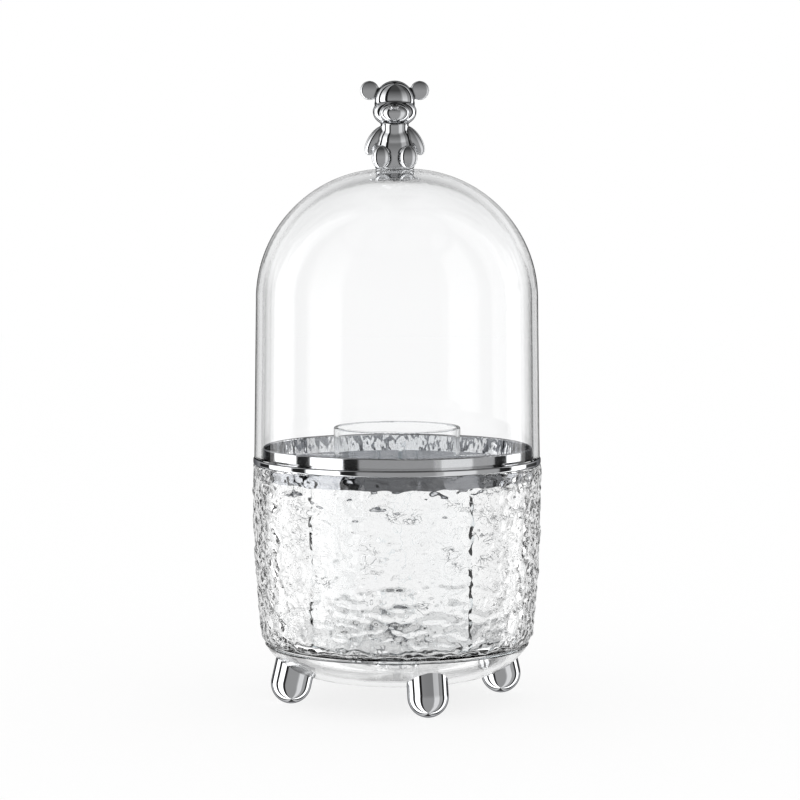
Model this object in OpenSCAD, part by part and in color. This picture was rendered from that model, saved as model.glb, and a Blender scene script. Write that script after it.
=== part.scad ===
// Dustproof makeup organizer. A clear domed lid with a seated bear on top lifts off a clear
// cup, which holds a five-way divider and turns on a clear bowl with four plated feet.
// Millimetres, +Z up, origin on the floor under the centre, front towards -Y.

/* [Base bowl] */
// Height of the bowl's underside above the floor
base_lift = 11.6; // [10:0.1:15]
// Height of the bowl from its underside to its rim
bowl_h = 15; // [13:0.5:20]
// How far the bowl's rim stands in from the cup's widest radius
bowl_inset = 5.4; // [3:0.1:8]
// Radius of the bowl's rounded side, in section
bowl_round_r = 31; // [24:0.5:36]
// Wall of the bowl
bowl_wall = 2.4; // [1.8:0.1:3]
// Radius of the boss that stands in the middle of the bowl
boss_r = 11; // [10:0.5:16]
// Wall of the hollow boss
boss_wall = 2.2; // [1.6:0.1:3]
// Radius of the pillar inside the boss that takes the pivot screw
pillar_r = 4.6; // [4:0.1:5.5]

/* [Feet] */
// Radius of a foot
foot_r = 9.5; // [7:0.1:11]
// How far the middle of a sole stands in from the bowl's rim
foot_inset = 10.7; // [9:0.1:15]
// Angle by which a foot leans outwards
foot_splay = 13; // [0:1:18]
// Radius of the small flat sole
sole_r = 2; // [1:0.1:4]
// Turn of the feet about the centre, from straight ahead
feet_turn = 16; // [0:0.5:45]
// Radius of the peg that sets a foot in the bowl
foot_peg_r = 2.5; // [1.5:0.1:3.5]
// Depth of the peg in the bowl's wall
foot_peg_depth = 1.2; // [0.6:0.1:1.6]

/* [Pivot] */
// Radius of the spindle that the cup turns on
spindle_r = 6; // [5:0.1:8]
// Radial clearance of the cup on the spindle
run_gap = 0.05; // [0.02:0.01:0.1]
// Thickness of the low-friction glide washer
glide_t = 1; // [0.8:0.1:2]
// How far the glide washer's edge stands in from the boss's edge
glide_margin = 0.5; // [0:0.1:2]
// Gap between the bowl's rim and the cup above it
rim_clear = 0.5; // [0.3:0.1:1]
// Radius of the steel retaining washer
washer_r = 9; // [8.5:0.5:12]
// Thickness of the retaining washer
washer_t = 1; // [0.8:0.1:1.6]
// Play of the cup's floor under the retaining washer
lift_play = 0.2; // [0.1:0.05:0.5]
// Radius of the pivot screw's shank
screw_r = 2; // [1.5:0.1:2.5]
// Length of the pivot screw under its head
screw_len = 12; // [8:0.5:13]
// Radius of the pivot screw's head
screw_head_r = 3.8; // [3.2:0.1:5]
// Height of the pivot screw's head
screw_head_h = 2.4; // [1.8:0.1:3]
// Width of the arms of the screw's cross recess
recess_w = 1; // [0.6:0.1:1.4]
// Depth of the cross recess
recess_depth = 1.2; // [0.6:0.1:1.6]
// Depth of the screw's hole past its tip
screw_tip_gap = 1; // [0.5:0.5:3]

/* [Cup] */
// Outer radius of the cup at its widest
cup_r = 67.8; // [65:0.1:72]
// Height of the cup
cup_h = 84.8; // [70:0.5:100]
// Radius of the slight belly of the cup's side, in section
cup_belly_r = 640; // [450:10:1200]
// Height of the widest place above the cup's underside
cup_widest_h = 73; // [50:0.5:80]
// Wall of the cup
cup_wall = 2.8; // [2:0.1:3.2]
// Thickness of the cup's floor
cup_floor = 2.4; // [1.8:0.1:4]
// Outer rounding at the cup's bottom
cup_corner_r = 5; // [3:0.5:8]
// Inner rounding at the cup's floor
cup_inner_corner_r = 3; // [1:0.5:5]

/* [Divider insert] */
// Number of compartments around the centre tube
compartments = 5; // [3:1:6]
// Turn of the first fin from straight ahead
fin_turn = 33; // [0:1:71]
// Thickness of a fin
fin_t = 1.8; // [1.2:0.1:3]
// Height of the fins above the cup's floor
fin_h = 85; // [50:0.5:90]
// Rounding of a fin's outer top corner
fin_corner_r = 8; // [3:0.5:12]
// Outer radius of the centre tube
tube_r = 29.8; // [22:0.1:34]
// Wall of the centre tube
tube_wall = 1.8; // [1.2:0.1:3]
// Height of the centre tube above the cup's floor
tube_h = 99.6; // [60:0.1:105]
// Thickness of the insert's floor disc
disc_t = 1.5; // [1:0.1:3]
// Clearance of the floor disc round the retaining washer
hub_gap = 2; // [1:0.5:6]
// Clearance between the fins and the collar ring they lift through
fin_gap = 0.6; // [0.4:0.1:1.5]

/* [Collar ring] */
// Thickness of the ring's sheet
ring_wall = 1.4; // [1:0.1:2]
// Height of the bead that shows outside
bead_h = 2.8; // [2:0.1:5]
// Rounding of the bead's outer edges
bead_round = 0.7; // [0.3:0.1:0.9]
// How far the bead stands in from the cup's widest radius
bead_inset = 0.1; // [0:0.1:1]
// Height of the band that the lid fits over
band_h = 5.3; // [3:0.1:10]
// Height of the skirt inside the cup
skirt_h = 6.4; // [3:0.1:12]
// Radial clearance of the skirt in the cup
skirt_gap = 0.2; // [0.1:0.05:0.5]
// Radial clearance of the lid over the band
lid_gap = 0.6; // [0.4:0.1:1]

/* [Dome lid] */
// How far the dome's rim stands in from the cup's widest radius
dome_inset = 0.6; // [0.2:0.1:2]
// Height of the dome
dome_h = 135.4; // [100:0.5:170]
// How much narrower the dome is where its crown begins
dome_draft = 1; // [0:0.1:3]
// Radius of the flat at the middle of the crown
crown_flat_r = 5.2; // [3:0.1:20]
// Bevel on the edges that meet the bead, on the dome's rim and the cup's mouth
edge_bevel = 0.6; // [0.3:0.1:1]
// Wall of the dome
dome_wall = 3; // [2:0.1:3.4]
// Thickness of the dome at the middle of its top
dome_top_wall = 4.2; // [4:0.1:6]

/* [Bear figure] */
// Sideways place of the figure on the dome
bear_x = -1.1; // [-3:0.1:3]
// Radius of the peg under the figure
bear_peg_r = 3; // [2:0.1:4]
// Depth of the peg in the dome's top
bear_peg_depth = 3; // [2:0.1:3.2]
// Half the width and height of the skull
skull_r = 9.2; // [7:0.1:11]
// Half the depth of the skull
skull_half_t = 6.8; // [5.5:0.1:9]
// Height of the skull's centre above the seat
skull_h = 31.8; // [28:0.1:36]
// Half the width of the cheeks
cheek_half_w = 10.25; // [8:0.05:12]
// Half the depth of the cheeks
cheek_half_t = 7; // [6:0.1:9]
// How far the cheeks' middle stands in front of the skull's
cheek_reach = 0.9; // [0.6:0.1:1.6]
// Half the height of the cheeks
cheek_half_h = 5.7; // [4:0.1:7]
// Height of the cheeks' middle above the seat
cheek_h = 26.8; // [24:0.1:29]
// Half the width of the muzzle
muzzle_half_w = 8; // [6:0.1:9]
// Half the depth of the muzzle
muzzle_half_t = 5; // [4:0.1:6]
// Half the height of the muzzle
muzzle_half_h = 3.9; // [3:0.1:5]
// How far the muzzle stands in front of the skull's centre
muzzle_reach = 9.3; // [8:0.1:11]
// Half the width of the nose
nose_half_w = 1.6; // [1:0.1:2.4]
// Radius of an ear
ear_r = 4.5; // [3:0.1:6]
// Radius of the crowned faces of an ear
ear_face_r = 13; // [9:0.5:20]
// Radius of an ear's rounded rim
ear_rim_r = 1; // [0.6:0.1:1.5]
// Distance of an ear's centre from the middle
ear_out = 11.7; // [10:0.1:13]
// Height of the ears above the seat
ear_h = 36.4; // [33:0.1:39]
// Half the width of the belly
belly_half_w = 9.6; // [8:0.1:11]
// Half the depth of the belly
belly_half_t = 7.6; // [7:0.1:9]
// Half the height of the belly's rounding
belly_half_h = 15.5; // [12:0.5:18]
// Height of the widest part of the belly
belly_h = 5.5; // [3:0.1:8]
// Radius of the neck
neck_r = 6.5; // [5.6:0.1:7]
// Half the length of an arm
arm_half_len = 8; // [6:0.1:10]
// Half the width of an arm
arm_half_w = 3.8; // [2.5:0.1:4.5]
// Half the thickness of an arm
arm_half_t = 2.5; // [2:0.1:4]
// Distance of an arm's middle from the middle of the body
arm_out = 8.7; // [7:0.1:10]
// Height of an arm's middle above the seat
arm_h = 13.2; // [10:0.1:16]
// Angle by which the arms spread
arm_spread = 34; // [20:1:45]
// Radius of a leg at the hip
hip_r = 3.8; // [3:0.1:5]
// Distance of a foot from the middle
leg_out = 6.3; // [5:0.1:8]
// Half the width of a foot's sole
pad_half_w = 4.35; // [3:0.05:5.5]
// Half the height of a foot's sole
pad_half_h = 5.6; // [4:0.1:6.5]
// Half the thickness of a foot's sole
pad_half_t = 2.8; // [2:0.1:3.5]
// How far the legs reach forward
leg_reach = 9.5; // [7:0.1:12]

/* [Hidden] */

$fn = 96;
cut = 1;                                   // how far a cutting tool reaches past a face

// Heights, stacked from the floor up
bowl_rim_z = base_lift + bowl_h;
cup_z = bowl_rim_z + rim_clear;
boss_z = cup_z - glide_t;
cup_floor_z = cup_z + cup_floor;
cup_top_z = cup_z + cup_h;
dome_z = cup_top_z + bead_h;
dome_top_z = dome_z + dome_h;
spindle_top_z = cup_floor_z + lift_play;
washer_top_z = spindle_top_z + washer_t;
screw_end_z = washer_top_z - screw_len;
insert_z = cup_floor_z;

// Radii that follow the cup's widest radius
dome_r = cup_r - dome_inset;
bowl_r = cup_r - bowl_inset;
foot_circle_r = bowl_r - foot_inset;
dome_crown_r = dome_r - dome_draft - crown_flat_r;

// Bowl: the rounded side ends level at the underside and reaches the rim's radius
bowl_centre_r = bowl_r - sqrt(2 * bowl_h * bowl_round_r - bowl_h * bowl_h);
bowl_centre_z = base_lift + bowl_round_r;

// Feet: a ball on a small sole, with a stem that leans in towards the bowl
ball_z = sqrt(foot_r * foot_r - sole_r * sole_r);

// Collar ring: fits the cup's mouth below and the dome's mouth above
cup_mouth_r = belly_r_at(cup_top_z - skirt_h, cup_wall);
skirt_out_r = cup_mouth_r - skirt_gap;
band_out_r = dome_r - dome_wall - lid_gap;
band_in_r = band_out_r - ring_wall;
bead_r = cup_r - bead_inset;

// Fins: lift out through the ring, and stand off the cup's wall as much at the bottom
fin_top_r = band_in_r - fin_gap;
fin_foot_z = insert_z + cup_inner_corner_r + fin_gap;
fin_foot_r = min(fin_top_r, belly_r_at(fin_foot_z, cup_wall) - 2 * fin_gap);
fin_flat_r = fin_foot_r - cup_inner_corner_r;
disc_r = fin_flat_r - fin_gap;

// Bear's face: the muzzle hangs from the brow, and the nose sits on its upper front
muzzle_h = cheek_h - 0.6;
nose_h = muzzle_h + 0.7 * muzzle_half_h;
nose_y = muzzle_half_t * 0.35 - muzzle_reach;

// Radius at height z of the cup's side, with the wall taken off for the inner face
function belly_centre_r() = cup_r - cup_belly_r;
function belly_centre_z() = cup_z + cup_widest_h;
function belly_r_at(z, inset) =
    belly_centre_r() + sqrt(pow(cup_belly_r - inset, 2) - pow(z - belly_centre_z(), 2));

// Section of the bowl's outer form, or of its hollow when inset by the wall
module bowl_section(inset) {
    intersection() {
        translate([0, base_lift + inset])
            square([bowl_r + cut, bowl_h - inset + (inset > 0 ? cut : 0)]);
        union() {
            square([bowl_centre_r, bowl_rim_z + cut]);
            translate([bowl_centre_r, bowl_centre_z])
                circle(r = bowl_round_r - inset, $fn = 240);
        }
    }
}

// Clear dish with a boss cored out from below, and the spindle that the cup turns on
module base_bowl() {
    color([0.9, 0.94, 0.96, 0.35])
    difference() {
        union() {
            rotate_extrude()
                difference() {
                    bowl_section(0);
                    bowl_section(bowl_wall);
                }
            translate([0, 0, base_lift + bowl_wall / 2])
                cylinder(r = boss_r, h = boss_z - base_lift - bowl_wall / 2);
            cylinder_between(spindle_r, boss_z - cut, spindle_top_z);
        }
        difference() {
            cylinder_between(boss_r - boss_wall, base_lift - cut, boss_z - boss_wall);
            cylinder_between(pillar_r, base_lift - 2 * cut, boss_z);
        }
        cylinder_between(screw_r + run_gap, screw_end_z - screw_tip_gap, spindle_top_z + cut);
        for (i = [0 : 3])
            foot_peg(feet_turn + i * 90, run_gap);
    }
}

module cylinder_between(r, z0, z1) {
    translate([0, 0, z0])
        cylinder(r = r, h = z1 - z0);
}

// Moves what follows to a foot's ball, with its stem's axis up
module at_foot(turn) {
    rotate([0, 0, turn - 90])
        translate([foot_circle_r, 0, ball_z])
            rotate([0, -foot_splay, 0])
                children();
}

// Peg on top of a foot, square to the stem, sunk a little into the bowl's wall
module foot_peg(turn, gap) {
    intersection() {
        at_foot(turn)
            cylinder(r = foot_peg_r + gap, h = bowl_h);
        rotate_extrude()
            difference() {
                bowl_section(0);
                bowl_section(foot_peg_depth + gap);
            }
    }
}

// Plated foot: round-ended stem, trimmed to the bowl's underside
module foot(turn) {
    color("silver")
    union() {
        difference() {
            at_foot(turn) {
                sphere(r = foot_r);
                cylinder(r = foot_r, h = bowl_h);
            }
            translate([-2 * foot_circle_r, -2 * foot_circle_r, -2 * foot_r])
                cube([4 * foot_circle_r, 4 * foot_circle_r, 2 * foot_r]);
            rotate_extrude()
                bowl_section(0);
        }
        foot_peg(turn, 0);
    }
}
module foot_front() { foot(feet_turn); }
module foot_right() { foot(feet_turn + 90); }
module foot_back() { foot(feet_turn + 180); }
module foot_left() { foot(feet_turn + 270); }

// Flat ring of low-friction plastic that carries the cup's floor on the boss
module glide_washer() {
    color("white")
    difference() {
        cylinder_between(boss_r - glide_margin, boss_z, cup_z);
        cylinder_between(spindle_r + run_gap, boss_z - cut, cup_z + cut);
    }
}

// Steel washer that keeps the cup on its spindle
module retaining_washer() {
    color("lightgray")
    difference() {
        cylinder_between(washer_r, spindle_top_z, washer_top_z);
        cylinder_between(screw_r + run_gap, spindle_top_z - cut, washer_top_z + cut);
    }
}

// Pan-head screw with a cross recess, driven into the spindle
module pivot_screw() {
    color("lightgray")
    difference() {
        union() {
            cylinder_between(screw_r, screw_end_z, washer_top_z + cut);
            rotate_extrude()
                pan_head_section();
        }
        for (turn = [0, 90])
            rotate([0, 0, turn])
                translate([-screw_r, -recess_w / 2, washer_top_z + screw_head_h - recess_depth])
                    cube([2 * screw_r, recess_w, recess_depth + cut]);
    }
}
module pan_head_section() {
    soft = screw_head_h / 2;
    translate([0, washer_top_z]) {
        square([screw_head_r, screw_head_h - soft]);
        square([screw_head_r - soft, screw_head_h]);
        translate([screw_head_r - soft, screw_head_h - soft])
            circle(r = soft);
    }
}

// Section of the cup's outer form, or of its inside when inset by the wall
module cup_section(inset, corner, z0, z1) {
    side_r = cup_belly_r - inset;
    corner_z = z0 + corner;
    corner_r = belly_centre_r() + sqrt(pow(side_r - corner, 2) - pow(corner_z - belly_centre_z(), 2));
    blend_z = belly_centre_z() + (corner_z - belly_centre_z()) * side_r / (side_r - corner);
    intersection() {
        translate([0, blend_z])
            square([cup_r + cut, z1 - blend_z]);
        translate([belly_centre_r(), belly_centre_z()])
            circle(r = side_r, $fn = 1440);
    }
    translate([0, z0])
        square([corner_r, corner]);
    translate([corner_r, corner_z])
        circle(r = corner);
}

// Clear cup with a flat floor and a bore for the spindle
module cup() {
    color([0.9, 0.94, 0.96, 0.35])
    difference() {
        rotate_extrude()
            difference() {
                cup_section(0, cup_corner_r, cup_z, cup_top_z);
                cup_section(cup_wall, cup_inner_corner_r, cup_floor_z, cup_top_z + cut);
                translate([belly_r_at(cup_top_z, 0), cup_top_z])
                    polygon([[-edge_bevel, 0], [cut, edge_bevel + cut], [cut, -edge_bevel - cut]]);
            }
        cylinder_between(spindle_r + run_gap, cup_z - cut, cup_floor_z + cut);
    }
}

// Plated ring bonded in the cup's mouth: skirt below, bead outside, band above for the lid
module collar_ring() {
    color("silver")
    rotate_extrude() {
        translate([skirt_out_r - ring_wall, cup_top_z - skirt_h])
            square([ring_wall, skirt_h + cut]);
        translate([band_in_r, cup_top_z])
            square([bead_r - bead_round - band_in_r, bead_h]);
        translate([band_in_r, cup_top_z + bead_round])
            square([bead_r - band_in_r, bead_h - 2 * bead_round]);
        for (z = [cup_top_z + bead_round, dome_z - bead_round])
            translate([bead_r - bead_round, z])
                circle(r = bead_round, $fn = 48);
        translate([band_in_r, dome_z - cut])
            square([ring_wall, band_h + cut - ring_wall / 2]);
        translate([band_in_r + ring_wall / 2, dome_z + band_h - ring_wall / 2])
            circle(r = ring_wall / 2, $fn = 48);
    }
}

// Outline of one fin: follows the cup's wall, rounded at its outer top corner
module fin_outline() {
    z1 = insert_z + fin_h;
    slope = (fin_top_r - fin_foot_r) / (z1 - fin_foot_z);
    corner_z = z1 - fin_corner_r;
    edge_r = fin_foot_r + slope * (corner_z - fin_foot_z);
    corner_r = edge_r - fin_corner_r * sqrt(1 + slope * slope);
    polygon([
        [tube_r - tube_wall / 2, insert_z],
        [fin_flat_r, insert_z],
        [fin_foot_r, fin_foot_z],
        [edge_r, corner_z],
        [corner_r, corner_z],
        [corner_r, z1],
        [tube_r - tube_wall / 2, z1]
    ]);
    translate([corner_r, corner_z])
        circle(r = fin_corner_r);
}

// Clear insert: centre tube, fins and a floor disc in one moulding
module divider_insert() {
    color([0.9, 0.94, 0.96, 0.35])
    union() {
        rotate_extrude() {
            translate([tube_r - tube_wall, insert_z])
                square([tube_wall, tube_h - tube_wall / 2]);
            translate([tube_r - tube_wall / 2, insert_z + tube_h - tube_wall / 2])
                circle(r = tube_wall / 2, $fn = 48);
            translate([washer_r + hub_gap, insert_z])
                square([disc_r - washer_r - hub_gap, disc_t]);
        }
        for (i = [0 : compartments - 1])
            rotate([0, 0, fin_turn - 90 + i * 360 / compartments])
                translate([0, fin_t / 2, 0])
                    rotate([90, 0, 0])
                        linear_extrude(height = fin_t)
                            fin_outline();
    }
}

// Section of the dome's outer form, or of its hollow when inset, from z0 up
module dome_section(side, top, z0, bevel) {
    crown_r = dome_crown_r - side;
    crown_z = dome_top_z - top - crown_r;
    polygon([
        [0, z0],
        [dome_r - side - bevel, z0],
        [dome_r - side, z0 + bevel],
        [crown_flat_r + crown_r, crown_z],
        [0, crown_z]
    ]);
    translate([0, crown_z - cut])
        square([crown_flat_r, crown_r + cut]);
    intersection() {
        translate([crown_flat_r, crown_z])
            circle(r = crown_r, $fn = 240);
        translate([0, crown_z])
            square(dome_r);
    }
}

// Clear dome, a little thicker at the top, with a blind socket for the figure's peg
module dome() {
    color([0.94, 0.97, 0.98, 0.3])
    difference() {
        rotate_extrude()
            difference() {
                dome_section(0, 0, dome_z, edge_bevel);
                dome_section(dome_wall, dome_top_wall, dome_z - cut, 0);
            }
        bear_peg(run_gap);
    }
}

module bear_peg(gap) {
    translate([bear_x, 0, dome_top_z - bear_peg_depth - gap])
        cylinder(r = bear_peg_r + gap, h = bear_peg_depth + cut);
}

// Draws what follows and its mirror image across the middle
module both_sides() {
    for (side = [0, 1])
        mirror([side, 0, 0])
            children();
}

// Straight limb with round ends, from point a to point b
module limb(a, b, r) {
    d = b - a;
    translate(a)
        rotate([0, acos(d[2] / norm(d)), atan2(d[1], d[0])]) {
            sphere(r = r);
            cylinder(r = r, h = norm(d));
            translate([0, 0, norm(d)])
                sphere(r = r);
        }
}

module ellipsoid(place, half) {
    translate(place)
        scale(half)
            sphere(r = 1);
}

// Seated bear, arms down at its sides and soles forward, with a peg underneath
module bear_figure() {
    color("silver")
    union() {
        difference() {
            translate([bear_x, 0, dome_top_z]) {
                bear_head();
                bear_body();
            }
            rotate_extrude()
                dome_section(0, 0, dome_z, edge_bevel);
        }
        intersection() {
            bear_peg(0);
            rotate_extrude()
                dome_section(0, 0, dome_z, edge_bevel);
        }
    }
}

module bear_head() {
    ellipsoid([0, 0, skull_h], [skull_r, skull_half_t, skull_r]);
    ellipsoid([0, -cheek_reach, cheek_h], [cheek_half_w, cheek_half_t, cheek_half_h]);
    ellipsoid([0, muzzle_half_t - muzzle_reach, muzzle_h], [muzzle_half_w, muzzle_half_t, muzzle_half_h]);
    ellipsoid([0, nose_y, nose_h], nose_half_w * [1, 0.7, 0.7]);
    both_sides()
        translate([ear_out, 0.5, ear_h])
            rotate([90, 0, 0])
                rotate_extrude()
                    ear_section();
}

// Half section of an ear: two shallow crowned faces that run into a rounded rim
module ear_section() {
    rim_centre = ear_r - ear_rim_r;
    drop = sqrt(pow(ear_face_r - ear_rim_r, 2) - rim_centre * rim_centre);
    blend = rim_centre * ear_face_r / (ear_face_r - ear_rim_r);
    intersection() {
        translate([0, -drop])
            circle(r = ear_face_r, $fn = 360);
        translate([0, drop])
            circle(r = ear_face_r, $fn = 360);
        translate([0, -ear_r])
            square([blend, 2 * ear_r]);
    }
    translate([rim_centre, 0])
        circle(r = ear_rim_r);
}

module bear_body() {
    ellipsoid([0, 0, belly_h], [belly_half_w, belly_half_t, belly_half_h]);
    translate([0, 0, arm_h])
        cylinder(r = neck_r, h = cheek_h - arm_h);
    both_sides() {
        translate([arm_out, -1, arm_h])
            rotate([0, -arm_spread, 0])
                ellipsoid([0, 0, 0], [arm_half_w, arm_half_t, arm_half_len]);
        limb([leg_out * 0.7, 0, hip_r], [leg_out, -leg_reach, pad_half_h * 0.9], hip_r);
        ellipsoid([leg_out, -leg_reach, pad_half_h - 0.3], [pad_half_w, pad_half_t, pad_half_h]);
    }
}

base_bowl();
foot_front();
foot_right();
foot_back();
foot_left();
glide_washer();
retaining_washer();
pivot_screw();
cup();
collar_ring();
divider_insert();
dome();
bear_figure();
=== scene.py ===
from math import asin, cos, degrees, pi, radians, sin, sqrt

import bpy
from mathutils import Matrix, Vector


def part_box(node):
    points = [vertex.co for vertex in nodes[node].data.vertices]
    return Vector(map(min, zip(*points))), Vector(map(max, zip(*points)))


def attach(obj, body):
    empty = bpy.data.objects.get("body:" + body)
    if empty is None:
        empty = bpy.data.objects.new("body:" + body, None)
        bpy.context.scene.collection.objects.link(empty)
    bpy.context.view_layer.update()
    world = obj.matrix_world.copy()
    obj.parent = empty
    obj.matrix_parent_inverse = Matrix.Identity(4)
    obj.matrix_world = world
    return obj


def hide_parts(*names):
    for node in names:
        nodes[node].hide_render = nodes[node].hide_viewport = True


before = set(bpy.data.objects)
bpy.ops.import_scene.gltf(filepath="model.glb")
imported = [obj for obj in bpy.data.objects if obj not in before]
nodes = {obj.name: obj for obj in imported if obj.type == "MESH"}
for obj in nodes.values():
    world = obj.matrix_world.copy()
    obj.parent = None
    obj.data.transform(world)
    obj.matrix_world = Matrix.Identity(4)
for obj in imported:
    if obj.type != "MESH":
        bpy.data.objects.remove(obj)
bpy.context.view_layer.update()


# --- Base bowl ---------------------------------------------------------------------------
# A shallow clear dish that carries everything: boss and spindle in the middle, four feet
# below. Injection-moulded general-purpose polystyrene, polished tool, no relief.
MM = 0.001                     # every length in the scene is in metres


def linear(hex_colour):
    """An sRGB hex value as the linear colour that a shader takes."""
    levels = [int(hex_colour[i:i + 2], 16) / 255 for i in (1, 3, 5)]
    return (*[v / 12.92 if v <= 0.04045 else ((v + 0.055) / 1.055) ** 2.4 for v in levels], 1)


def add(tree, kind, inputs={}, **settings):
    """Adds a node with its settings. An input is a value, a socket, or a node whose first output
    it takes."""
    node = tree.nodes.new(kind)
    for name, value in settings.items():
        setattr(node, name, value)
    for name, value in inputs.items():
        if isinstance(value, bpy.types.Node):
            tree.links.new(value.outputs[0], node.inputs[name])
        elif isinstance(value, bpy.types.NodeSocket):
            tree.links.new(value, node.inputs[name])
        else:
            node.inputs[name].default_value = value
    return node


def new_material(name):
    """A material with an empty node tree."""
    material = bpy.data.materials.new(name)
    material.use_nodes = True
    material.node_tree.nodes.clear()
    return material


def clear_moulding(name, tint, ior, density, wave_spacing, wave_depth):
    """Clear moulded plastic: smooth, with the slow waves that the cooling melt leaves in its
    skin. The tint and its density per metre turn a wall that is seen edge-on light grey."""
    material = new_material(name)
    tree = material.node_tree
    place = add(tree, "ShaderNodeTexCoord")
    flow = add(tree, "ShaderNodeTexNoise", {"Vector": place.outputs["Object"],
                                            "Scale": 1 / wave_spacing,
                                            "Detail": 1.0, "Roughness": 0.4})
    waves = add(tree, "ShaderNodeBump", {"Height": flow, "Distance": wave_depth,
                                         "Strength": 1.0})
    polish = add(tree, "ShaderNodeMapRange", {"Value": flow, "To Min": 0.0, "To Max": 0.02})
    surface = add(tree, "ShaderNodeBsdfPrincipled",
                  {"Base Color": (1, 1, 1, 1), "IOR": ior, "Transmission Weight": 1.0,
                   "Roughness": polish.outputs["Result"], "Normal": waves})
    body = add(tree, "ShaderNodeVolumeAbsorption", {"Color": linear(tint), "Density": density})
    add(tree, "ShaderNodeOutputMaterial", {"Surface": surface, "Volume": body})
    return material


def dress(node_name, material):
    """Gives a carried-over CAD node its finished material."""
    for slot in nodes[node_name].material_slots:
        slot.material = material


clear_styrene = clear_moulding("clear polystyrene", tint="#EEF3F5", ior=1.59, density=14.0,
                               wave_spacing=38 * MM, wave_depth=0.05 * MM)
dress("base_bowl", clear_styrene)


# --- Feet --------------------------------------------------------------------------------
# Four ball-ended stubs of ABS with bright chromium plating, bonded under the bowl by pegs.
CHROME_COLOUR = "#E4E5E7"
CHROME_EDGE = "#6A6B6E"        # the plating darkens where it turns away
PEEL_SPACING = 1.6 * MM        # the faint orange peel of plating over a moulding
PEEL_DEPTH = 0.0015 * MM
HAZE_SPACING = 12 * MM         # patches that the polishing wheel left duller or brighter
HAZE_SHARE = 0.4               # how far they go from the mean roughness, as a share of it


def bright_plating(name, roughness, edge=CHROME_EDGE):
    """Chromium plate: mirror-bright and cool, with a faint orange peel, darker towards its
    outlines, where the edge colour takes over."""
    material = new_material(name)
    tree = material.node_tree
    place = add(tree, "ShaderNodeTexCoord")
    peel = add(tree, "ShaderNodeTexNoise", {"Vector": place.outputs["Object"],
                                            "Scale": 1 / PEEL_SPACING, "Detail": 2.0})
    skin = add(tree, "ShaderNodeBump", {"Height": peel, "Distance": PEEL_DEPTH, "Strength": 1.0})
    haze = add(tree, "ShaderNodeTexNoise", {"Vector": place.outputs["Object"],
                                            "Scale": 1 / HAZE_SPACING, "Detail": 3.0})
    dulling = add(tree, "ShaderNodeMapRange", {"Value": haze, "From Min": 0.3, "From Max": 0.7,
                                               "To Min": (1 - HAZE_SHARE) * roughness,
                                               "To Max": (1 + HAZE_SHARE) * roughness})
    surface = add(tree, "ShaderNodeBsdfPrincipled",
                  {"Base Color": linear(CHROME_COLOUR), "Metallic": 1.0,
                   "Specular Tint": linear(edge), "Roughness": dulling.outputs["Result"],
                   "Normal": skin})
    add(tree, "ShaderNodeOutputMaterial", {"Surface": surface})
    return material


chrome_plate = bright_plating("chromium plate on ABS", roughness=0.05)
for side in ("front", "right", "back", "left"):
    dress("foot_" + side, chrome_plate)


# --- Pivot -------------------------------------------------------------------------------
# The cup turns on a waxy acetal washer and is kept down by a zinc-plated steel washer and a
# pan-head screw, all seen through the clear floor.
ACETAL_COLOUR = "#E9E9E5"
ZINC_COLOUR = "#A9ABAF"
MOTTLE_SPACING = 3 * MM
RING_SPACING = 2.2 * MM        # tool marks, drawn coarser than real ones so that they show
RING_DEPTH = 0.004 * MM
WAVES_PER_SCALE = 20 / (2 * pi)        # rings that the wave node draws per unit of its scale


def waxy_acetal():
    """Moulded acetal: off-white, soft sheen, a little mottled."""
    material = new_material("moulded acetal")
    tree = material.node_tree
    place = add(tree, "ShaderNodeTexCoord")
    mottle = add(tree, "ShaderNodeTexNoise", {"Vector": place.outputs["Object"],
                                              "Scale": 1 / MOTTLE_SPACING, "Detail": 3.0})
    sheen = add(tree, "ShaderNodeMapRange", {"Value": mottle, "To Min": 0.35, "To Max": 0.5})
    surface = add(tree, "ShaderNodeBsdfPrincipled",
                  {"Base Color": linear(ACETAL_COLOUR), "IOR": 1.48,
                   "Roughness": sheen.outputs["Result"]})
    add(tree, "ShaderNodeOutputMaterial", {"Surface": surface})
    return material


def zinc_plated_steel():
    """Bright zinc on steel: bluish grey, with fine concentric tool marks."""
    material = new_material("zinc-plated steel")
    tree = material.node_tree
    place = add(tree, "ShaderNodeTexCoord")
    rings = add(tree, "ShaderNodeTexWave", {"Vector": place.outputs["Object"],
                                            "Scale": 1 / (RING_SPACING * WAVES_PER_SCALE),
                                            "Distortion": 0.4},
                wave_type="RINGS", rings_direction="Z")
    marks = add(tree, "ShaderNodeBump", {"Height": rings.outputs["Fac"], "Distance": RING_DEPTH,
                                         "Strength": 1.0})
    surface = add(tree, "ShaderNodeBsdfPrincipled",
                  {"Base Color": linear(ZINC_COLOUR), "Metallic": 1.0, "Roughness": 0.3,
                   "Normal": marks})
    add(tree, "ShaderNodeOutputMaterial", {"Surface": surface})
    return material


dress("glide_washer", waxy_acetal())
steel = zinc_plated_steel()
dress("retaining_washer", steel)
dress("pivot_screw", steel)


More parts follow.
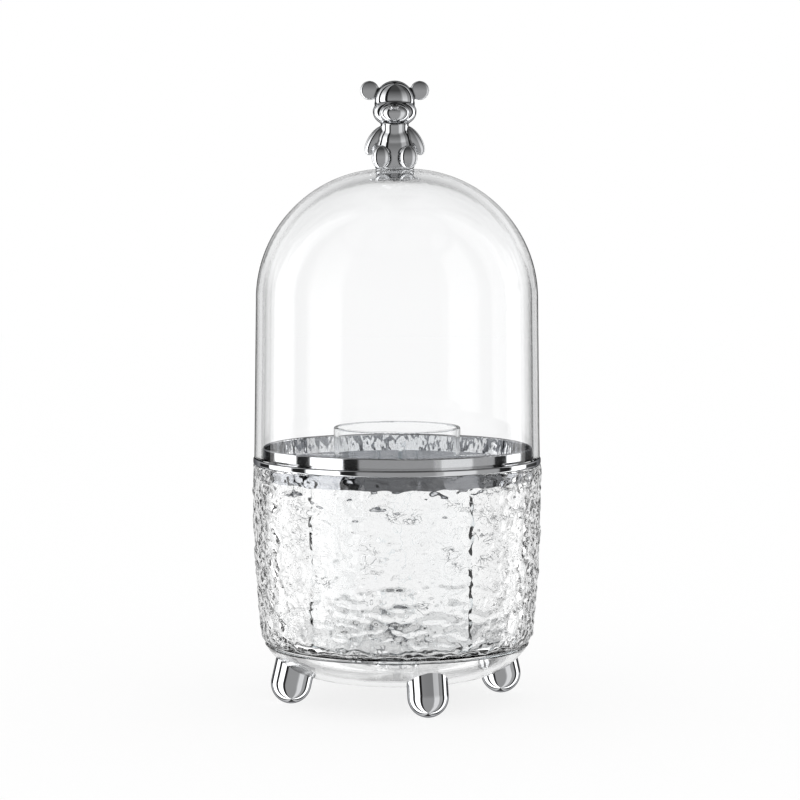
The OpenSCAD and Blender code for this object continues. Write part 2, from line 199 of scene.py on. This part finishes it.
# --- Cup ---------------------------------------------------------------------------------
# Clear cup with a hammered, ice-like relief all round its outside and a smooth inside.
# Injection-moulded acrylic; the relief is cut into the mould, so it is part of the wall.
(_, _, CUP_BOTTOM), (CUP_RADIUS, _, CUP_TOP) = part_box("cup")
BELLY = 640 * MM               # radius of the side's slight belly, in section
WIDEST = CUP_BOTTOM + 73 * MM  # height at which the belly is widest
CUP_WALL = 2.8 * MM
CUP_FLOOR = CUP_BOTTOM + 2.4 * MM
CUP_BORE = 6.05 * MM           # radius of the hole in the floor, round the bowl's spindle
CUP_CORNER = 5 * MM
CUP_INNER_CORNER = 3 * MM
MOUTH_BEVEL = 0.6 * MM
SEAT_GAP = 0.04 * MM           # keeps the cup's faces off the pieces that they touch
ROW_STEP = 0.7 * MM            # rows and steps of the mesh: fine enough for the small dimples
SPIN_STEPS = 600
MERGE_GAP = 0.01 * MM          # points nearer than this are one
RELIEF = ((6.4 * MM, 2.3 * MM), (3.0 * MM, 0.75 * MM))    # dimple size and depth
RELIEF_FLATTEN = 0.62          # dimples are wider than they are high
RELIEF_LEVEL = 0.55            # noise value that stays on the wall's face
RELIEF_FADE = 2.5 * MM         # height over which the relief dies out at the mouth and foot
SHARP_ANGLE = 50               # degrees between faces from which an edge stays sharp
VEIN_SPACING = 6 * MM          # thin folds between the dimples, drawn as loops of a noise: a bump, with painted shade along them
VEIN_WIDTH = 0.022             # how far from its middle value the noise draws a fold
VEIN_DEPTH = 0.12 * MM
VEIN_STRETCH = 1.7             # the loops are this much wider than high
# painted shade along the folds, for the light that they bend away
PAINTED_FOLD_SHADE = "#4A4E52"
PATCH_SPACING = 14.4 * MM      # the folds come in patches, where a second noise is high
PATCH_EDGE = (0.58, 0.68)


def arc(centre, radius, start, end, count):
    """Points (r, z) along an arc, from angle start to angle end in degrees."""
    turns = [radians(start + (end - start) * i / count) for i in range(count + 1)]
    return [(centre[0] + radius * cos(t), centre[1] + radius * sin(t)) for t in turns]


def side_arc(inset, low, high, count):
    """The cup's side between two heights, inset from its outer face."""
    centre = (CUP_RADIUS - BELLY, WIDEST)
    radius = BELLY - inset
    return arc(centre, radius, degrees(asin((low - WIDEST) / radius)),
               degrees(asin((high - WIDEST) / radius)), count)


def corner_arc(inset, corner, floor, count):
    """The rounding between a level floor at height floor and the cup's side."""
    reach = BELLY - inset - corner
    z = floor + corner
    r = CUP_RADIUS - BELLY + sqrt(reach ** 2 - (z - WIDEST) ** 2)
    return arc((r, z), corner, -90, degrees(asin((z - WIDEST) / reach)), count)


def select_none():
    """Leaves edit mode, with nothing selected."""
    if bpy.context.mode != "OBJECT":
        bpy.ops.object.mode_set(mode="OBJECT")
    bpy.ops.object.select_all(action="DESELECT")


def select_only(piece):
    """Leaves the piece selected and active, on its own."""
    select_none()
    piece.select_set(True)
    bpy.context.view_layer.objects.active = piece


def spin_outline(name, outline, steps):
    """A named piece: a closed outline of (r, z) points, drawn one by one, spun round Z."""
    select_none()
    bpy.ops.mesh.primitive_plane_add(size=MM)
    piece = bpy.context.object
    piece.name = piece.data.name = name
    bpy.ops.object.mode_set(mode="EDIT")
    bpy.ops.mesh.select_all(action="SELECT")
    bpy.ops.mesh.merge(type="CENTER")
    points = [Vector((r, 0, z)) for r, z in outline]
    bpy.ops.transform.translate(value=points[0])
    for here, there in zip(points, points[1:] + points[:1]):
        bpy.ops.mesh.extrude_region_move(TRANSFORM_OT_translate={"value": there - here})
    bpy.ops.mesh.select_all(action="SELECT")
    bpy.ops.mesh.remove_doubles(threshold=MERGE_GAP)
    bpy.ops.mesh.spin(steps=steps, angle=2 * pi, center=(0, 0, 0), axis=(0, 0, 1))
    bpy.ops.mesh.select_all(action="SELECT")
    bpy.ops.mesh.remove_doubles(threshold=MERGE_GAP)
    bpy.ops.mesh.normals_make_consistent(inside=False)
    bpy.ops.mesh.faces_shade_smooth()
    bpy.ops.object.mode_set(mode="OBJECT")
    return piece


def apply_modifier(piece, name, kind, **settings):
    """Adds a modifier with its settings to the active piece and applies it at once."""
    modifier = piece.modifiers.new(name, kind)
    for setting, value in settings.items():
        setattr(modifier, setting, value)
    bpy.ops.object.modifier_apply(modifier=modifier.name)


outer_corner = corner_arc(0, CUP_CORNER, CUP_BOTTOM, count=8)
inner_corner = corner_arc(CUP_WALL, CUP_INNER_CORNER, CUP_FLOOR - SEAT_GAP, count=6)
relief_foot = outer_corner[len(outer_corner) // 2][1]
relief_top = CUP_TOP - SEAT_GAP - MOUTH_BEVEL
side_rows = int((relief_top - outer_corner[-1][1]) / ROW_STEP)
cup_outline = ([(CUP_BORE, CUP_BOTTOM + SEAT_GAP)] + outer_corner
               + side_arc(0, outer_corner[-1][1], relief_top, side_rows)[1:]
               + side_arc(MOUTH_BEVEL, CUP_TOP - SEAT_GAP, CUP_TOP - SEAT_GAP, count=1)[:1]
               + side_arc(CUP_WALL, CUP_TOP - SEAT_GAP, inner_corner[-1][1], count=24)
               + inner_corner[-2::-1] + [(CUP_BORE, CUP_FLOOR - SEAT_GAP)])
cup = spin_outline("hammered_cup", cup_outline, SPIN_STEPS)

outside = cup.vertex_groups.new(name="relief")
for vertex in cup.data.vertices:
    z = vertex.co.z
    wall_r = CUP_RADIUS - BELLY + sqrt(BELLY ** 2 - (z - WIDEST) ** 2)
    on_side = vertex.co.xy.length > wall_r - 0.5 * CUP_WALL and z > outer_corner[0][1]
    fade = min(z - relief_foot, relief_top - z) / RELIEF_FADE
    if on_side and fade > 0:
        outside.add([vertex.index], min(fade, 1), "REPLACE")

stretch = bpy.data.objects.new("relief stretch", None)
stretch.scale = (1, 1, RELIEF_FLATTEN)
bpy.context.scene.collection.objects.link(stretch)
select_only(cup)
for size, depth in RELIEF:
    dimples = bpy.data.textures.new("dimples", "CLOUDS")
    dimples.noise_scale = size
    dimples.noise_depth = 0
    dimples.noise_basis = "IMPROVED_PERLIN"
    apply_modifier(cup, "hammer", "DISPLACE", texture=dimples, texture_coords="OBJECT",
                   texture_coords_object=stretch, vertex_group=outside.name,
                   strength=depth, mid_level=RELIEF_LEVEL)
bpy.data.objects.remove(stretch)
bpy.ops.object.shade_smooth_by_angle(angle=radians(SHARP_ANGLE))


def hammered_moulding():
    """Clear acrylic with a relief: it sparkles, and between its dimples run thin folds that bend
    the light away, with painted shade along them."""
    material = clear_moulding("clear acrylic, hammered", tint="#EFF3F4", ior=1.49, density=10.0,
                              wave_spacing=9 * MM, wave_depth=0.03 * MM)
    tree = material.node_tree
    surface = tree.nodes["Principled BSDF"]
    place = add(tree, "ShaderNodeTexCoord")
    stretched = add(tree, "ShaderNodeMapping", {"Vector": place.outputs["Object"],
                                                "Scale": (1, 1, VEIN_STRETCH)})
    loops = add(tree, "ShaderNodeTexNoise", {"Vector": stretched, "Scale": 1 / VEIN_SPACING,
                                             "Detail": 2.0, "Roughness": 0.45,
                                             "Distortion": 0.6})
    level = add(tree, "ShaderNodeMath", {0: loops, 1: 0.5}, operation="SUBTRACT")
    off_middle = add(tree, "ShaderNodeMath", {0: level}, operation="ABSOLUTE")
    fold = add(tree, "ShaderNodeMapRange", {"Value": off_middle, "From Min": 0.0,
                                            "From Max": VEIN_WIDTH, "To Min": 1.0, "To Max": 0.0},
               interpolation_type="SMOOTHSTEP")
    patches = add(tree, "ShaderNodeTexNoise", {"Vector": stretched, "Scale": 1 / PATCH_SPACING,
                                               "Detail": 1.0})
    strength = add(tree, "ShaderNodeMapRange", {"Value": patches, "From Min": PATCH_EDGE[0],
                                                "From Max": PATCH_EDGE[1]})
    fold_and_painted_shade = add(tree, "ShaderNodeMath", {0: fold.outputs["Result"],
                                        1: strength.outputs["Result"]}, operation="MULTIPLY")
    # painted shade: the folds darken the clear acrylic's colour
    shade = add(tree, "ShaderNodeMix", {"Factor": fold_and_painted_shade, 6: (1, 1, 1, 1),
                                        7: linear(PAINTED_FOLD_SHADE)}, data_type="RGBA")
    tree.links.new(shade.outputs[2], surface.inputs["Base Color"])
    waves = surface.inputs["Normal"].links[0].from_socket
    folds = add(tree, "ShaderNodeBump", {"Height": fold_and_painted_shade, "Distance": VEIN_DEPTH,
                                         "Strength": 1.0, "Normal": waves})
    tree.links.new(folds.outputs["Normal"], surface.inputs["Normal"])
    return material


cup.data.materials.append(hammered_moulding())
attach(cup, "turning_cup")
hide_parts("cup")


# --- Collar ring -------------------------------------------------------------------------
# One ring of ABS with bright chromium plating: a skirt bonded in the cup's mouth, a bead that
# shows outside, and a band that the lid fits over.
RING_INSIDE = 62.9 * MM        # radius inside which the ring's faces are left unpolished
SKIRT_COLOUR = "#9A9CA0"       # the skirt, darker where it stands behind the cup's wall
RIPPLE_SPACING = 5 * MM
RIPPLE_STRETCH = 0.35          # the ripples are taller than wide
RIPPLE_DEPTH = 1.2 * MM


def ring_plating():
    """The same plating, with broken reflections inside, where no polishing tool reached."""
    material = bright_plating("chromium plate, rippled inside", roughness=0.05)
    tree = material.node_tree
    surface = tree.nodes["Principled BSDF"]
    place = add(tree, "ShaderNodeTexCoord")
    flat = add(tree, "ShaderNodeVectorMath", {0: place.outputs["Object"], 1: (1, 1, 0)},
               operation="MULTIPLY")
    radius = add(tree, "ShaderNodeVectorMath", {0: flat}, operation="LENGTH")
    inside = add(tree, "ShaderNodeMath", {0: radius.outputs["Value"], 1: RING_INSIDE},
                 operation="LESS_THAN")
    stretched = add(tree, "ShaderNodeMapping", {"Vector": place.outputs["Object"],
                                                "Scale": (1, 1, RIPPLE_STRETCH)})
    ripples = add(tree, "ShaderNodeTexNoise", {"Vector": stretched, "Scale": 1 / RIPPLE_SPACING,
                                               "Detail": 2.0})
    height = add(tree, "ShaderNodeMath", {0: ripples, 1: inside}, operation="MULTIPLY")
    unpolished = add(tree, "ShaderNodeBump", {"Height": height, "Distance": RIPPLE_DEPTH,
                                              "Strength": 1.0})
    tree.links.new(unpolished.outputs["Normal"], surface.inputs["Normal"])
    axes = add(tree, "ShaderNodeSeparateXYZ", {"Vector": place.outputs["Object"]})
    # the ring's colour turns darker below the cup's mouth, on the skirt
    behind_cup_wall = add(tree, "ShaderNodeMath", {0: axes.outputs["Z"], 1: CUP_TOP},
                 operation="LESS_THAN")
    colour = add(tree, "ShaderNodeMix", {"Factor": behind_cup_wall, 6: linear(CHROME_COLOUR),
                                         7: linear(SKIRT_COLOUR)}, data_type="RGBA")
    tree.links.new(colour.outputs[2], surface.inputs["Base Color"])
    return material


dress("collar_ring", ring_plating())


# --- Divider insert ----------------------------------------------------------------------
# Centre tube with five fins on a thin floor disc, one moulding, loose in the cup. Clear
# acrylic, polished. It bends light less than acrylic does, or its many walls, one behind the
# other, would turn the cup grey.
clear_acrylic = clear_moulding("clear acrylic, polished", tint="#ECF1F3", ior=1.18,
                               density=30.0, wave_spacing=30 * MM, wave_depth=0.06 * MM)
dress("divider_insert", clear_acrylic)


# --- Dome lid ----------------------------------------------------------------------------
# Tall clear cover that keeps the dust off, its rim resting on the ring's bead. Moulded acrylic
# with a polished skin: only its outline and reflections show. Its index is lower than
# acrylic's, which keeps the outline thin.
clear_lid = clear_moulding("clear acrylic, lid", tint="#E9EDF0", ior=1.27, density=16.0,
                           wave_spacing=60 * MM, wave_depth=0.08 * MM)
dress("dome", clear_lid)


# --- Bear --------------------------------------------------------------------------------
# A small sitting bear as the lid's knob, set in the crown by a peg. Die-cast and chromium
# plated; polishing and plating leave every crease softly filled.
BEAR_EDGE = "#141517"          # thicker plating: its outlines turn darker than the feet's
PAINTED_CREASE_SHADE = "#121314"      # painted shade in a crease, where it is at its darkest
CREASE_DEPTH = 0.05 * MM       # and the depth from which it is
CREASE_ROUNDS = 20             # rounds of smoothing that a point is compared with, for its depth
SHARED_CORNER = 0.001 * MM     # corners of the CAD's triangles nearer than this are one
BEAR_VOXEL = 0.23 * MM         # grain of the recast mesh
POLISH_ROUNDS = 26             # rounds of smoothing that fill the creases
SMOOTH_FACTOR = 0.5
BEAR_X = -1.1                  # where the figure sits, in mm
BEAR_SEAT = 250.1
BEAR_SWELLS = (                # centre (across, back, above the seat) and half sizes, in mm
    ((0, -1.0, 26.3), (10.2, 7.9, 6.9)),       # cheeks and jowls
    ((0, 0.4, 30.2), (9.5, 5.0, 5.6)),         # temples, so that the cheeks run up into the skull
    ((0, -6.2, 25.7), (6.8, 4.6, 4.9)),        # muzzle
    ((-0.75, -10.6, 28.3), (1.25, 1.1, 1.0)),  # nose, in two lobes
    ((0.75, -10.6, 28.3), (1.25, 1.1, 1.0)),
    ((0, 0, 12.5), (8.3, 7.0, 8.6)),           # chest, so that the belly runs up into the neck
    ((-6.3, -10.9, 5.3), (4.35, 2.5, 5.6)),    # soles
    ((6.3, -10.9, 5.3), (4.35, 2.5, 5.6)))


def copy_of_node(name, node_name):
    """A new piece from a CAD node's mesh, its loose triangles merged. It is left active."""
    piece = nodes[node_name].copy()
    piece.data = nodes[node_name].data.copy()
    piece.name = piece.data.name = name
    bpy.context.scene.collection.objects.link(piece)
    piece.parent = None
    select_only(piece)
    bpy.ops.object.mode_set(mode="EDIT")
    bpy.ops.mesh.select_all(action="SELECT")
    bpy.ops.mesh.customdata_custom_splitnormals_clear()
    bpy.ops.mesh.remove_doubles(threshold=SHARED_CORNER)
    bpy.ops.object.mode_set(mode="OBJECT")
    return piece


def mark_creases(piece, depth):
    """The painted shade's mask: how deep each point lies in a crease, 1 at the depth or more."""
    places = [vertex.co.copy() for vertex in piece.data.vertices]
    normals = [vertex.normal.copy() for vertex in piece.data.vertices]
    apply_modifier(piece, "fill", "SMOOTH", factor=SMOOTH_FACTOR, iterations=CREASE_ROUNDS)
    crease_shade = piece.data.attributes.new("crease_shade", "FLOAT", "POINT")
    for vertex, place, normal, mark in zip(piece.data.vertices, places, normals, crease_shade.data):
        mark.value = min(max((vertex.co - place).dot(normal) / depth, 0), 1)
        vertex.co = place


def plating_with_painted_crease_shade():
    """Chromium on die-cast zinc: a mirror with dark outlines, and painted shade that darkens
    its creases."""
    material = bright_plating("chromium plate on die-cast zinc", roughness=0.04, edge=BEAR_EDGE)
    tree = material.node_tree
    crease_shade = add(tree, "ShaderNodeAttribute", attribute_name="crease_shade")
    # painted shade: the creases darken the plating's colour
    colour = add(tree, "ShaderNodeMix", {"Factor": crease_shade.outputs["Fac"],
                                         6: linear(CHROME_COLOUR), 7: linear(PAINTED_CREASE_SHADE)},
                 data_type="RGBA")
    tree.links.new(colour.outputs[2], tree.nodes["Principled BSDF"].inputs["Base Color"])
    return material


bear = copy_of_node("plated_bear", "bear_figure")
bpy.ops.object.mode_set(mode="EDIT")
for (x, y, z), half_sizes in BEAR_SWELLS:
    bpy.ops.mesh.primitive_uv_sphere_add(
        segments=64, ring_count=32, radius=MM, scale=half_sizes,
        location=Vector((BEAR_X + x, y, BEAR_SEAT + z)) * MM)
bpy.ops.object.mode_set(mode="OBJECT")
apply_modifier(bear, "recast", "REMESH", mode="VOXEL", voxel_size=BEAR_VOXEL)
apply_modifier(bear, "polish", "SMOOTH", factor=SMOOTH_FACTOR, iterations=POLISH_ROUNDS)
mark_creases(bear, CREASE_DEPTH)
bpy.ops.object.shade_smooth()
bear.data.materials.clear()
bear.data.materials.append(plating_with_painted_crease_shade())
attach(bear, "lid")
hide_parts("bear_figure")


# --- Table and backdrop ------------------------------------------------------------------
# A plain white top that runs out to the white backdrop. It takes the object's faint shadow.
FLOOR_SIZE = 6.0               # metres
SHADOW_SHARE = 0.2             # share of the floor that is lit; the rest glows, to stay white
FLOOR_ALBEDO = 0.95
TENT_LEVEL = 0.9               # the even light that falls on matt surfaces


def after_mirror(tree):
    """1 on a ray that a shiny face has sent on, and 0 on any other."""
    path = add(tree, "ShaderNodeLightPath")
    return add(tree, "ShaderNodeMath", {0: path.outputs["Glossy Depth"], 1: 0.5},
               operation="GREATER_THAN")


select_none()
bpy.ops.mesh.primitive_plane_add(size=FLOOR_SIZE)
floor = bpy.context.object
floor.name = floor.data.name = "table_top"
matt_white = new_material("matt white laminate")
tree = matt_white.node_tree
glow_level = (1 - SHADOW_SHARE * FLOOR_ALBEDO * TENT_LEVEL) / (1 - SHADOW_SHARE)
glow = add(tree, "ShaderNodeEmission", {"Color": (1, 1, 1, 1), "Strength": glow_level})
lit = add(tree, "ShaderNodeBsdfDiffuse", {"Color": (FLOOR_ALBEDO, FLOOR_ALBEDO, FLOOR_ALBEDO, 1)})
top = add(tree, "ShaderNodeMixShader", {0: SHADOW_SHARE, 1: glow, 2: lit})
away = add(tree, "ShaderNodeBsdfTransparent")
seen = add(tree, "ShaderNodeMixShader", {0: after_mirror(tree), 1: top, 2: away})
add(tree, "ShaderNodeOutputMaterial", {"Surface": seen})
floor.data.materials.append(matt_white)


# --- Studio light ------------------------------------------------------------------------
# A white tent, with strip lights, grey panels and dark flags that stand upright round it. The
# flags and lights show only in reflections; what is seen through the clear walls is the tent.
PANELS = (                     # where each begins, in degrees from the front, and its level
    (-180, 0.05), (-165, 0.8), (-142, 0.03), (-123, 2.2), (-93, 0.02), (-77, 2.2), (-46, 0.02),
    (-32, 0.36), (31, 0.52), (37, 0.86), (66, 0.42), (89, 0.02), (104, 2.2), (125, 0.1),
    (150, 0.8), (165, 0.05))
PANEL_BLUR = 1.5               # degrees over which one panel gives way to the next
# Heights below are directions: the sine of the angle above the horizon.
PANEL_TOP = (0.7, 0.18)        # height up to which the panels darken, and the share left there
CEILING = ((0.2, 0.5), (1.0, 0.05))    # the tent between two heights, and its levels there
BACK = 0.6                     # how far back a direction points where the backdrop stands
BACK_EDGE = (0.02, 0.2)        # heights over which it takes the place of the panels there
BACK_UNDER = -0.13             # and the height under which it does so too
BACKDROP = ((0.0, 0.3), (0.4, 0.62))   # the backdrop between two heights, and its levels there
WHITE_WALLS = (4.0, 8.0)       # clear faces passed, over which reflections turn white

world = bpy.data.worlds.new("white tent")
bpy.context.scene.world = world
world.use_nodes = True
tree = world.node_tree
tree.nodes.clear()
place = add(tree, "ShaderNodeTexCoord")
axes = add(tree, "ShaderNodeSeparateXYZ", {"Vector": place.outputs["Generated"]})
back = add(tree, "ShaderNodeMath", {0: axes.outputs["Y"], 1: -1.0}, operation="MULTIPLY")
turn = add(tree, "ShaderNodeMath", {0: axes.outputs["X"], 1: back}, operation="ARCTAN2")
share = add(tree, "ShaderNodeMapRange", {"Value": turn, "From Min": -pi, "From Max": pi})
panels = add(tree, "ShaderNodeValToRGB", {"Fac": share.outputs["Result"]})
ramp = panels.color_ramp
top_level = max(level for _, level in PANELS)
ends = [start for start, _ in PANELS[1:]] + [180]
stops = []
for (start, level), end in zip(PANELS, ends):
    stops += [(start + PANEL_BLUR / 2, level), (end - PANEL_BLUR / 2, level)]
for i, (angle, level) in enumerate(stops):
    stop = ramp.elements[i] if i < 2 else ramp.elements.new((angle + 180) / 360)
    stop.position = (angle + 180) / 360
    stop.color = (*[level / top_level] * 3, 1)
dimming = add(tree, "ShaderNodeMapRange", {"Value": axes.outputs["Z"], "From Min": 0.0,
                                           "From Max": PANEL_TOP[0], "To Min": top_level,
                                           "To Max": PANEL_TOP[1] * top_level})
behind = add(tree, "ShaderNodeMath", {0: axes.outputs["Y"], 1: BACK}, operation="GREATER_THAN")
over = add(tree, "ShaderNodeMapRange", {"Value": axes.outputs["Z"], "From Min": BACK_EDGE[0],
                                        "From Max": BACK_EDGE[1]})
under = add(tree, "ShaderNodeMath", {0: axes.outputs["Z"], 1: BACK_UNDER},
            operation="LESS_THAN")
past = add(tree, "ShaderNodeMath", {0: over.outputs["Result"], 1: under}, operation="MAXIMUM")
open_back = add(tree, "ShaderNodeMath", {0: behind, 1: past}, operation="MULTIPLY")
backdrop = add(tree, "ShaderNodeMapRange", {"Value": axes.outputs["Z"],
                                            "From Min": BACKDROP[0][0],
                                            "From Max": BACKDROP[0][1],
                                            "To Min": BACKDROP[1][0],
                                            "To Max": BACKDROP[1][1]})
all_round = add(tree, "ShaderNodeMix", {"Factor": open_back, 6: panels.outputs["Color"],
                                        7: backdrop.outputs["Result"]}, data_type="RGBA")
path = add(tree, "ShaderNodeLightPath")
walls = add(tree, "ShaderNodeMapRange", {"Value": path.outputs["Transmission Depth"],
                                         "From Min": WHITE_WALLS[0],
                                         "From Max": WHITE_WALLS[1]})
through_walls = add(tree, "ShaderNodeMix", {"Factor": walls.outputs["Result"],
                                            6: all_round.outputs[2],
                                            7: (*[1 / top_level] * 3, 1)}, data_type="RGBA")
ceiling = add(tree, "ShaderNodeMapRange", {"Value": axes.outputs["Z"],
                                           "From Min": CEILING[0][0], "From Max": CEILING[0][1],
                                           "To Min": CEILING[1][0], "To Max": CEILING[1][1]})
lamps = add(tree, "ShaderNodeBackground", {"Color": through_walls.outputs[2],
                                           "Strength": dimming.outputs["Result"]})
tent = add(tree, "ShaderNodeBackground", {"Color": ceiling.outputs["Result"], "Strength": 1.0})
fill = add(tree, "ShaderNodeBackground", {"Color": (1, 1, 1, 1), "Strength": TENT_LEVEL})
page = add(tree, "ShaderNodeBackground", {"Color": (1, 1, 1, 1), "Strength": 1.0})
through = add(tree, "ShaderNodeMixShader", {0: after_mirror(tree), 1: tent, 2: lamps})
indirect = add(tree, "ShaderNodeMixShader", {0: path.outputs["Is Diffuse Ray"], 1: through,
                                             2: fill})
whole = add(tree, "ShaderNodeMixShader", {0: path.outputs["Is Camera Ray"], 1: indirect,
                                          2: page})
add(tree, "ShaderNodeOutputWorld", {"Surface": whole})

# A ray crosses the faces of lid, tube, fins and cup, front and back, and Cycles gives up and
# draws black at its usual twelve.
light = bpy.context.scene.cycles
light.max_bounces = light.transmission_bounces = 24
light.glossy_bounces = 8


# --- Camera ------------------------------------------------------------------------------
# A long lens a little above the cup, looking slightly down.
PICTURE = 800                  # pixels across
LENS_PIXELS = 2840.3           # focal length in those pixels
SENSOR = 36.0
CAMERA_PLACE = (1.40, -1333.5, 247.2)      # in mm
LOOK_DOWN = 0.0791             # radians below level

view = bpy.data.cameras.new("camera")
view.sensor_width = SENSOR
view.lens = LENS_PIXELS / PICTURE * SENSOR
view.clip_end = 50
camera = bpy.data.objects.new("camera", view)
camera.location = Vector(CAMERA_PLACE) * MM
camera.rotation_euler = (pi / 2 - LOOK_DOWN, 0, 0)
bpy.context.scene.collection.objects.link(camera)
bpy.context.scene.camera = camera
bpy.context.scene.view_settings.view_transform = "Standard"
